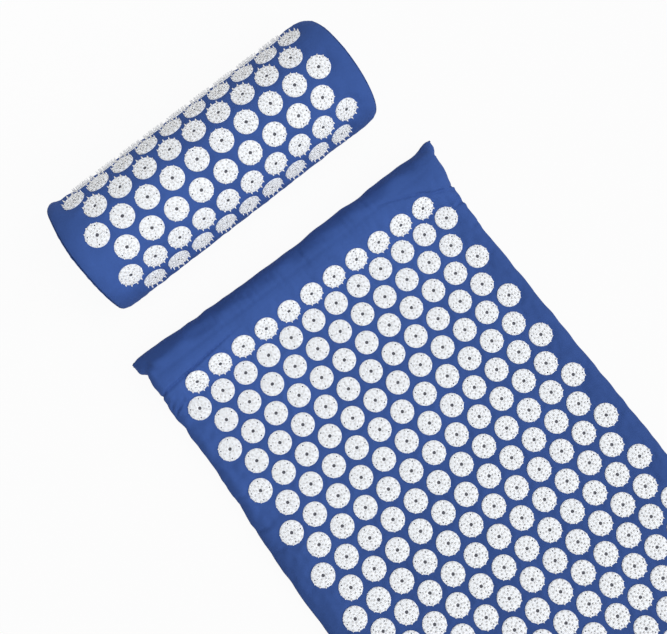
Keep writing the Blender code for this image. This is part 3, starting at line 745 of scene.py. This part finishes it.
def make_mat_top(cotton, centres):
    side_steps = 8
    stations = row_stations(0.0024, 0.0012)
    grid, points = mat_top_base(side_steps, 300, stations, 22)
    x, y, z = points[:, :, 0], points[:, :, 1], points[:, :, 2]
    normals = grid_normals(points)
    gap = distance_to_discs(x, y, centres)
    swell = SWELL_SETTLED * smooth_step(gap / 0.0055)
    loose = rise(gap, 0.004, 0.012)
    on_head = rise(y, 0.272, 0.015)
    large = noise_at(points * np.array([1.0, 1.7, 1.0]), 26.0, 1)
    small = noise_at(points, 75.0, 2)
    shift = swell + loose * (0.0010 * large * (0.3 + on_head) + 0.00022 * small)
    between = (noise_at(points, 120.0, 9) * 0.0013 - 0.0003) * smooth_step(gap / 0.0025)
    shift = shift + between * (1.0 - on_head)
    shift = np.where(gap <= UNDER_DISC_GAP, UNDER_DISC_DIP, shift)
    # puckers where the cloth gathers into its seams, and rumples where the head edge turns down
    pull, pucker = grid.pucker(z, 0.0013, 0.0012)
    turned = np.exp(-((y - 0.3050) / 0.0060) ** 2)
    rumple = noise_at(points_of(x + 0.6 * y, y * 0.9, z * 0.4), 42.0, 6) * HEAD_RUMPLE
    shift = shift * (1.0 - pull) + (pull * pucker + turned * rumple) * (1.0 - grid.fall)
    shift = shift - crease_depth(x, y) * (1.0 - 0.7 * pull)
    shift = shift + np.where(gap <= UNDER_DISC_GAP, 0.0, settled_mat_top(centres, grid))
    # the left side is slack towards the foot
    slack = rise(-x, 0.1850, 0.0130) * rise(y, 0.0900, -0.0500)
    shift = shift - SIDE_SLACK * slack * grid.side_up
    # valley between the thin corner and the filled band
    for side, cx, cy, lean, deep in VALLEYS:
        along = (x - cx) * 0.45 * side + (y - cy)
        across = (x - cx) * side - (y - cy) * lean
        valley = np.exp(-(across / 0.0042) ** 2) * np.exp(-(along / 0.0100) ** 2)
        shift = shift - deep * valley * ~grid.head_tucked
    shift = shift * (1.0 - grid.fall) + grid.fall * 0.00035 * (noise_at(points, 55.0, 5) + 0.5)
    shift = np.where(grid.tucked & (grid.fall < 0.5), 0.0, shift)
    points = points + normals * shift[:, :, None]

    # the sides are slit over the hinge
    rows, columns = shift.shape
    slit = [i for i, place in enumerate(stations) if HINGE_TO_Y - 0.0001 < place < HINGE_FROM_Y - 0.0001]
    last = columns - side_steps - 2
    faces = grid_faces(rows, columns, lambda i, j: i in slit and not side_steps < j < last)
    return mesh_from("mat_cover_top", points, faces, [cotton])


def drop_loose(item):
    """Takes away points that no face uses."""
    shape = bmesh.new()
    shape.from_mesh(item.data)
    bmesh.ops.delete(shape, geom=[v for v in shape.verts if not v.link_faces], context="VERTS")
    shape.to_mesh(item.data)
    shape.free()


def make_mat_bottom(cotton):
    grid = MatGrid(8, 100, row_stations(0.0080, 0.0024), 22)
    z = (SEAM_Z - SEAM_STEP) * (1.0 - grid.up)
    z = z * (1.0 - grid.fall) + 0.0012 * grid.fall * grid.side_tucked
    points = grid.points(z)
    pull, pucker = grid.pucker(z, 0.0008, 0.0010)
    shift = np.where(grid.tucked, 0.0, pull * pucker * (1.0 - grid.fall))
    points = points - grid_normals(points) * shift[:, :, None]
    points[:, :, 2] = np.maximum(points[:, :, 2], 0.0)
    # the cloth lies on the floor in very soft waves
    points[:, :, 2] += np.where(grid.up > 0.999, 0.00025 * (1.0 + noise_at(points, 30.0, 6)), 0.0)
    return mesh_from("mat_cover_bottom", points, flipped(grid_faces(*shift.shape)), [cotton])


def make_mat_foam(foam):
    """The slab inside the cover, seen when the mouth is open."""
    half, rounding = 0.1965, 0.011
    stations = [HINGE_Y - 0.0016, *np.linspace(HINGE_Y + 0.0005, CREASE_Y, 12), 0.262, 0.276, 0.286, 0.296,
                0.302, 0.306, 0.309]
    angles = [math.pi / 2 * k / 5 for k in range(6)]
    edge = [(half - rounding + rounding * math.cos(a), math.sin(a)) for a in angles]
    over = edge + [(half / 2, 1.0), (0.0, 1.0), (-half / 2, 1.0)] + [(-u, v) for u, v in reversed(edge)]
    under = list(reversed(over))[1:-1]
    points = []
    for i, y in enumerate(stations):
        turn = math.sqrt(max(1.0 - max((y - 0.296) / 0.0135, 0.0) ** 2, 0.0))
        inset = 0.0012 if i == 0 else 0.0
        top = (float(mat_top_height(y)) - 0.0062 - SEAM_Z) * turn - inset
        low = (SEAM_Z - 0.0018) * turn - inset
        points += [(u, y, SEAM_Z + top * v) for u, v in over] + [(u, y, SEAM_Z - low * v) for u, v in under]
    faces = tube_faces(len(stations), len(over) + len(under))
    return mesh_from("mat_foam", points, faces, [foam], crisp=50)


def make_tape_piece(name, low, facing, material):
    """A sewn strip of tape with rounded selvedges; facing is the side its pile is on."""
    across = np.linspace(-TAPE_HALF, TAPE_HALF, 150)
    selvedge = [(0.0, 0.30), (0.0006, 0.62), (0.0016, 0.70), (0.0020, 1.0)]
    profile = selvedge + [(TAPE_WIDTH * k / 8, 1.0) for k in range(1, 8)]
    profile += [(TAPE_WIDTH - u, v) for u, v in reversed(selvedge)]
    rows = []
    for u, lift in profile:
        line = points_of(across, TAPE_NEAR_Y + u, 0.0)
        height = TAPE_THICKNESS * lift + (noise_at(line, 900.0, 8) * 0.00008 if lift == 1.0 else 0.0)
        line[:, 2] = low + (height if facing > 0 else TAPE_THICKNESS - height)
        rows.append(line)
    back = low if facing > 0 else low + TAPE_THICKNESS
    rows += [points_of(across, y, back) for y in (TAPE_NEAR_Y + TAPE_WIDTH, TAPE_NEAR_Y)]
    count, columns = len(rows), len(across)
    faces = []
    for i in range(count):
        a, b = i * columns, (i + 1) % count * columns
        faces += [(a + j, a + j + 1, b + j + 1, b + j) for j in range(columns - 1)]
    faces.append(tuple(reversed([i * columns for i in range(count)])))
    faces.append(tuple(i * columns + columns - 1 for i in range(count)))
    return mesh_from(name, np.stack(rows), faces if facing > 0 else flipped(faces), [material], crisp=45)


def make_stitches(name, lines, material, stitch=0.0030, pitch=0.0038, thick=0.00032):
    """Short sewn stitches on cloth that faces up, along straight lines, each given by its two ends."""
    points, faces = [], []
    normal = Vector((0.0, 0.0, 1.0))
    rings = ((0.0, 0.35, -0.5), (0.18, 1.0, 0.35), (0.5, 1.1, 0.6), (0.82, 1.0, 0.35), (1.0, 0.35, -0.5))
    for start, end in lines:
        start, end = Vector(start), Vector(end)
        run = (end - start).normalized()
        side = run.cross(normal)
        for k in range(int((end - start).length / pitch)):
            origin = start + run * (k * pitch)
            first = len(points)
            for share, size, lift in rings:
                middle = origin + run * (stitch * share) + normal * (thick * lift)
                points += [middle + side * u + normal * (0.8 * v) for u, v in ring_points(6, thick * size)]
            for ring in range(len(rings) - 1):
                for m in range(6):
                    a, b = first + ring * 6 + m, first + ring * 6 + (m + 1) % 6
                    faces.append((a, a + 6, b + 6, b))
            faces.append(tuple(range(first, first + 6)))
            faces.append(tuple(reversed(range(first + 24, first + 30))))
    return mesh_from(name, points, faces, [material])


# Pillow
PILLOW_FRAME = Matrix.Translation(PILLOW_PLACE) @ Matrix.Rotation(PILLOW_TURN, 4, "Z")
END_ANGLE = math.acos(-PILLOW_AXIS_Z / PILLOW_RADIUS)


def pillow_row_angle(row):
    return ((PILLOW_ROWS - 1) / 2 - row) * PILLOW_ROW_ANGLE + PILLOW_SLIP


def pillow_disc_places():
    rows = []
    for row in range(PILLOW_ROWS):
        turn = Matrix.Rotation(-pillow_row_angle(row), 4, "X") @ Matrix.Translation((0.0, 0.0, PILLOW_RADIUS))
        seat = PILLOW_FRAME @ Matrix.Translation((0.0, 0.0, PILLOW_AXIS_Z)) @ turn
        rows.append(places_in_row(seat, row, PILLOW_LONG_ROW, PILLOW_DISC_PITCH))
    return rows


def pillow_discs_flat():
    """Disc centres laid out flat: place along, and arc length from the top."""
    return [(x, pillow_row_angle(row) * PILLOW_RADIUS) for row in range(PILLOW_ROWS)
            for x in row_steps(row, PILLOW_LONG_ROW, PILLOW_DISC_PITCH)]


def section_share(x):
    """How much of the full section is left at a place along the pillow."""
    past = np.maximum(np.abs(x) - (PILLOW_HALF - PILLOW_END_ROUND), 0.0) / PILLOW_END_ROUND
    return 1.0 - PILLOW_END_DRAW_SHARE * past * past


def pull_in(x, angle):
    """How far the cover's ends are drawn in, more towards the back."""
    back = rise(angle, -0.2, 1.3) * rise(angle, math.pi, -0.9)
    drawn = np.where(x < 0.0, 0.0012 + 0.0042 * back, -0.0012 - 0.0008 * back)
    return drawn * rise(np.abs(x), 0.160, 0.018)


def flare(x, angle):
    """The cover stands out at the back of the left end, and is drawn in at the back of the right one."""
    back = rise(angle, 0.35, 0.8) * rise(angle, 2.0, -0.5)
    return back * (0.0044 * rise(-x, 0.156, 0.024) - 0.0022 * rise(x, 0.168, 0.014))


def pillow_outline(count_over, count_base):
    """The pillow's section: over the top from the front base corner to the back one, then back below."""
    angles = np.linspace(-END_ANGLE, END_ANGLE, count_over)
    over = [(PILLOW_RADIUS * math.sin(a), PILLOW_AXIS_Z + PILLOW_RADIUS * math.cos(a)) for a in angles]
    corner = over[-1][0]
    return np.array(over + [(corner - 2 * corner * k / count_base, 0.0) for k in range(1, count_base)])


def settled_wrap(centres, angles, xs):
    """The same simulation for the cover round the pillow."""
    coarse_angles = np.linspace(-END_ANGLE, END_ANGLE, 64)
    coarse_xs = np.linspace(-PILLOW_HALF, PILLOW_HALF, 80)
    a, x = np.meshgrid(coarse_angles, coarse_xs, indexing="ij")
    points = points_of(x, np.sin(a) * PILLOW_RADIUS, PILLOW_AXIS_Z + np.cos(a) * PILLOW_RADIUS)
    held = np.ones(x.shape, dtype=bool)
    held[1:-1, 1:-1] = False
    move = settle(points, distance_to_discs(x, a * PILLOW_RADIUS, centres), held, 0.010, 0.0016)
    return spread(move, coarse_angles, coarse_xs, angles, xs)


def make_pillow_wrap(cotton):
    angles = np.linspace(-END_ANGLE, END_ANGLE, 96)
    half = PILLOW_HALF
    xs = np.concatenate([[-half + 0.0002, -half, -half + 0.0012],
                         np.linspace(-half + 0.004, half - 0.004, 110),
                         [half - 0.0012, half, half - 0.0002]])
    a, x = np.meshgrid(angles, xs, indexing="ij")
    centres = pillow_discs_flat()
    gap = distance_to_discs(x, a * PILLOW_RADIUS, centres)
    # the wrap is flat under the discs and round between them
    step = PILLOW_ROW_ANGLE
    row_at = np.clip(np.round((a - PILLOW_SLIP) / step), -3, 3) * step + PILLOW_SLIP
    flat_reach = PILLOW_RADIUS / np.cos(np.clip(a - row_at, -step / 2, step / 2))
    inside = np.abs(a - PILLOW_SLIP) <= PILLOW_ROWS / 2 * step + 1e-6
    under = 1.0 - smooth_step(gap / 0.006)
    round_reach = PILLOW_RADIUS + 0.0004
    reach = np.where(inside, flat_reach * under + (round_reach + 0.0006) * (1.0 - under), round_reach)
    line = points_of(x, np.sin(a) * reach, PILLOW_AXIS_Z + np.cos(a) * reach)
    swell = 0.0007 * smooth_step(gap / 0.006)
    loose = rise(gap, 0.004, 0.012)
    wrinkle = noise_at(line, 28.0, 11) * 0.0007 + noise_at(line, 80.0, 12) * 0.0002
    small = noise_at(line, 110.0, 14) * 0.0009 * smooth_step(gap / 0.0025)
    near_end = rise(np.abs(x), half - 0.016, 0.016)
    gather = noise_at(points_of(x * 0.1, np.sin(a) * 0.07, np.cos(a) * 0.07), 110.0, 13) * 0.0008
    shift = swell + small + loose * (wrinkle + near_end * gather)
    shift = shift - 0.6 * swell + settled_wrap(centres, angles, xs)
    shift = np.where(gap <= UNDER_DISC_GAP, UNDER_DISC_DIP, shift)
    near_base = rise(np.abs(a), END_ANGLE - 0.10, 0.10)
    shift = shift * (1.0 - near_base)
    shift[:, [0, -1]] -= TUCK
    reach = reach + shift + flare(x, a)
    share = section_share(x)
    z = np.maximum((PILLOW_AXIS_Z + np.cos(a) * reach) * share, 0.0006)
    points = points_of(x + pull_in(x, a), np.sin(a) * reach * share, z)
    # the last row turns under towards the base seam
    under_row = points[[0, -1]].copy()
    under_row[0, :, 1] += 0.0030
    under_row[1, :, 1] -= 0.0030
    under_row[:, :, 2] = 0.0006
    points = np.concatenate([under_row[:1], points, under_row[1:]])
    return mesh_from("pillow_cover_wrap", points, grid_faces(*points.shape[:2]), [cotton], PILLOW_FRAME)


# Rings of the pillow's end as (size, bulge), from the seam inwards. The first three are the seam itself.
END_RINGS = ((0.975, 0.0), (0.996, 0.10), (1.0, 0.16), (0.985, 0.36), (0.95, 0.55), (0.88, 0.74),
             (0.78, 0.87), (0.64, 0.95), (0.48, 0.99), (0.30, 1.0), (0.14, 1.0))


def make_pillow_end(name, side, cotton):
    outline = pillow_outline(96, 40) * (1.0 - PILLOW_END_DRAW_SHARE)
    centre = np.array([0.0, PILLOW_AXIS_Z])
    seam_x = PILLOW_HALF + 0.0004
    ends = np.full(len(outline), side * seam_x)
    round_at = np.arctan2(outline[:, 0], outline[:, 1] - PILLOW_AXIS_Z)
    wider = 1.0 + flare(ends, round_at) / PILLOW_RADIUS
    rows = []
    for k, (size, bulge) in enumerate(END_RINGS):
        inner = k > 2
        flat = centre + (outline - centre) * size * wider[:, None]
        flat[:, 1] = np.maximum(flat[:, 1], 0.0012)
        line = points_of(0.0, flat[:, 0], flat[:, 1])
        angle = np.arctan2(flat[:, 0], flat[:, 1] - PILLOW_AXIS_Z)
        ray = points_of(np.cos(angle), np.sin(angle), 0.3 * size)
        pull = rise(size, 0.62, 0.36) * inner
        wave = noise_at(ray, 9.0, 20 + side) * 0.0009 * pull + noise_at(line, 30.0, 23) * 0.0006 * (k > 3)
        low = smooth_step(flat[:, 1] / 0.012)
        line[:, 0] = pull_in(ends, angle) * (size if inner else 1.0)
        line[:, 0] += side * (seam_x + PILLOW_END_PUFF * bulge * (0.55 + 0.45 * low) + wave * low)
        rows.append(line)
    points = np.concatenate(rows + [[[side * (seam_x + PILLOW_END_PUFF - 0.0006), 0.0, PILLOW_AXIS_Z]]])
    count, last = len(outline), len(points) - 1
    faces = tube_faces(len(rows), count, capped=False)
    faces += [(last - count + k, last - count + (k + 1) % count, last) for k in range(count)]
    return mesh_from(name, points, flipped(faces) if side > 0 else faces, [cotton], PILLOW_FRAME)


def make_pillow_base(cotton):
    corner = PILLOW_RADIUS * math.sin(END_ANGLE) * (1.0 - PILLOW_END_DRAW_SHARE) - TUCK
    half = PILLOW_HALF - 0.0006
    y, x = np.meshgrid(np.linspace(-corner, corner, 30), np.linspace(-half, half, 70), indexing="ij")
    z = 0.0003 * (1.0 + noise_at(points_of(x, y, x * 0.0), 34.0, 31))
    faces = flipped(grid_faces(*z.shape))
    return mesh_from("pillow_cover_base", points_of(x, y, z), faces, [cotton], PILLOW_FRAME)


def make_pillow_foam(foam):
    centre = np.array([0.0, PILLOW_AXIS_Z])
    outline = centre + (pillow_outline(40, 12) - centre) * 0.958
    outline[:, 1] = np.maximum(outline[:, 1], 0.0022)
    half = PILLOW_HALF - 0.0095
    near_end = ((half, 0.93), (half - 0.002, 0.955), (half - 0.010, 0.99), (half - 0.02, 1.0))
    rows = []
    for x, size in [(-u, v) for u, v in near_end] + [(0.0, 1.0)] + list(reversed(near_end)):
        flat = centre + (outline - centre) * size
        rows.append(points_of(x, flat[:, 0], flat[:, 1]))
    faces = tube_faces(len(rows), len(outline))
    return mesh_from("pillow_foam", np.concatenate(rows), faces, [foam], PILLOW_FRAME)


# Build
BLUE = (0.0415, 0.0940, 0.310)
# each cotton's stops are painted shade: darker towards the mat's foot and the back of the pillow, and the
# pillow's ends and base darker all over
cotton = make_cotton("blue_cotton_weave", BLUE,
                     ((-0.040, 0.79), (0.050, 0.87), (0.150, 0.92), (0.250, 1.0)))
pillow_cotton = make_cotton("blue_cotton_weave_round", BLUE,
                            ((-0.030, 1.0), (0.000, 0.97), (0.035, 0.88), (0.075, 0.82)), round_axis=True)
end_cotton = make_cotton("blue_cotton_weave_ends", BLUE, ((-0.050, 0.92), (0.050, 0.86)))
plastic = [
    make_plastic("white_moulded_plastic", (0.852, 0.891, 0.966), (0.872, 0.909, 0.978), 0.6, 0.0030),
    # the spikes: the plate's plastic painted lighter, to offset the shade on their sides
    make_plastic("white_moulded_spikes", (0.911, 0.940, 0.990), (0.928, 0.952, 0.996), 1.0, 0.0060, 1.0),
    # dark caps in the disc holes: pin ends, dark as painted shade of the holes
    make_plastic("pin_ends_and_hole_shade", (0.046, 0.047, 0.062), (0.060, 0.061, 0.078), 0.0, 0.0010),
]
foam = make_foam()
hook = make_tape("hook_tape_nap", (0.025, 0.050, 0.160), 1100.0, 0.0005)
loop = make_tape("loop_tape_nap", (0.030, 0.070, 0.220), 500.0, 0.0006)
thread = make_thread()

mat_nodes = [f"mat_disc_row_{row + 1:02d}" for row in range(MAT_ROWS)]
pillow_nodes = [f"pillow_disc_row_{row + 1}" for row in range(PILLOW_ROWS)]
mat_places = mat_disc_places()
for nodes, places in ((mat_nodes, mat_places), (pillow_nodes, pillow_disc_places())):
    for node, row_places in zip(nodes, places):
        make_disc_row(node.replace("disc", "discs"), node, row_places, plastic)

top = make_mat_top(cotton, [(place[0][3], place[1][3]) for places in mat_places for place in places])
drop_loose(top)
thicken(top)
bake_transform(top)
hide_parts("mat_head_panel", "mat_closure_flap", *mat_nodes)

bottom = make_mat_bottom(cotton)
thicken(bottom)
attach(bottom, "base")
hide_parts("mat_bottom_panel", "mat_closure_lower_lip")

mat_foam = make_mat_foam(foam)
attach(mat_foam, "base")
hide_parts("mat_foam_core")

hook_piece = make_tape_piece("mat_hook_tape", HOOK_Z, 1, hook)
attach(hook_piece, "base")
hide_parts("mat_closure_hook_tape")
loop_piece = make_tape_piece("mat_loop_tape", LOOP_Z, -1, loop)
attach(loop_piece, "closure_flap")
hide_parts("mat_closure_loop_tape")

STITCH_INSET = 0.0012
stitch_z = LIP_TOP_Z + 0.0003
flap_stitches = make_stitches("mat_flap_stitches", [
    ((-TAPE_HALF, y, stitch_z), (TAPE_HALF, y, stitch_z))
    for y in (TAPE_NEAR_Y + STITCH_INSET, TAPE_NEAR_Y + TAPE_WIDTH - STITCH_INSET)], thread)
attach(flap_stitches, "closure_flap")

wrap = make_pillow_wrap(pillow_cotton)
thicken(wrap)
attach(wrap, "base")
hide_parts("pillow_side_back", "pillow_side_front", *pillow_nodes)
for side, word in ((-1, "left"), (1, "right")):
    end = make_pillow_end(f"pillow_cover_end_{word}", side, end_cotton)
    thicken(end)
    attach(end, "base")
    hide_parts(f"pillow_end_{word}")
base_panel = make_pillow_base(end_cotton)
thicken(base_panel)
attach(base_panel, "base")
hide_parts("pillow_base_panel")
pillow_foam = make_pillow_foam(foam)
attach(pillow_foam, "base")
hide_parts("pillow_foam_core")

# Floor, light and camera
FLOOR_REACH = 6.0
FLOOR_Z = -0.0005
floor_material, tree, shader = new_material("pale_floor")
feed(tree, shader, {"Base Color": (0.50, 0.50, 0.51, 1.0), "Roughness": 0.9})
glow = add(tree, "ShaderNodeEmission", {"Color": (0.99, 0.99, 0.99, 1.0), "Strength": 1.02})
mix_surface(tree, math_node(tree, "MULTIPLY", seen_rays(tree), 0.93), shader.outputs[0], glow[0])
corners = ((-1, -1), (1, -1), (1, 1), (-1, 1))
floor = mesh_from("floor", [(x * FLOOR_REACH, y * FLOOR_REACH, FLOOR_Z) for x, y in corners], [(0, 1, 2, 3)],
                  [floor_material])

# the sky is white to the camera and in gloss, and weaker as a light
SKY_LIGHT = 0.30
SKY_SEEN = 0.68
world = bpy.data.worlds.new("studio")
bpy.context.scene.world = world
world.use_nodes = True
sky = world.node_tree
seen_sky = math_node(sky, "MULTIPLY", seen_rays(sky), SKY_SEEN)
strength = math_node(sky, "ADD", seen_sky, SKY_LIGHT)
feed(sky, sky.nodes["Background"], {"Color": (1.0, 1.0, 1.0, 1.0), "Strength": strength})

key = add_object("key", bpy.data.lights.new("key", "SUN"))
key.data.energy = 2.62
key.data.angle = math.radians(80.0)
key.rotation_euler = Vector((0.38, -0.50, 1.0)).to_track_quat("Z", "Y").to_euler()

# a low strip light behind the pillow
strip = add_object("strip", bpy.data.lights.new("strip", "AREA"))
strip.data.shape = "RECTANGLE"
strip.data.size, strip.data.size_y = 0.9, 0.2
strip.data.energy = 0.9
strip.location = (0.0, 0.98, 0.10)
strip.rotation_euler = Vector((0.0, 1.0, 0.06)).to_track_quat("Z", "X").to_euler()
strip.visible_camera = False

camera = add_object("camera", bpy.data.cameras.new("camera"))
camera.data.lens = CAMERA_LENS_MM
camera.data.sensor_width = CAMERA_SENSOR_MM
camera.data.shift_x, camera.data.shift_y = CAMERA_SHIFT
axes = Matrix((CAMERA_RIGHT, CAMERA_UP, CAMERA_BACK)).transposed().to_4x4()
camera.matrix_world = Matrix.Translation(CAMERA_PLACE) @ axes
bpy.context.scene.camera = camera
bpy.context.scene.view_settings.view_transform = "Standard"
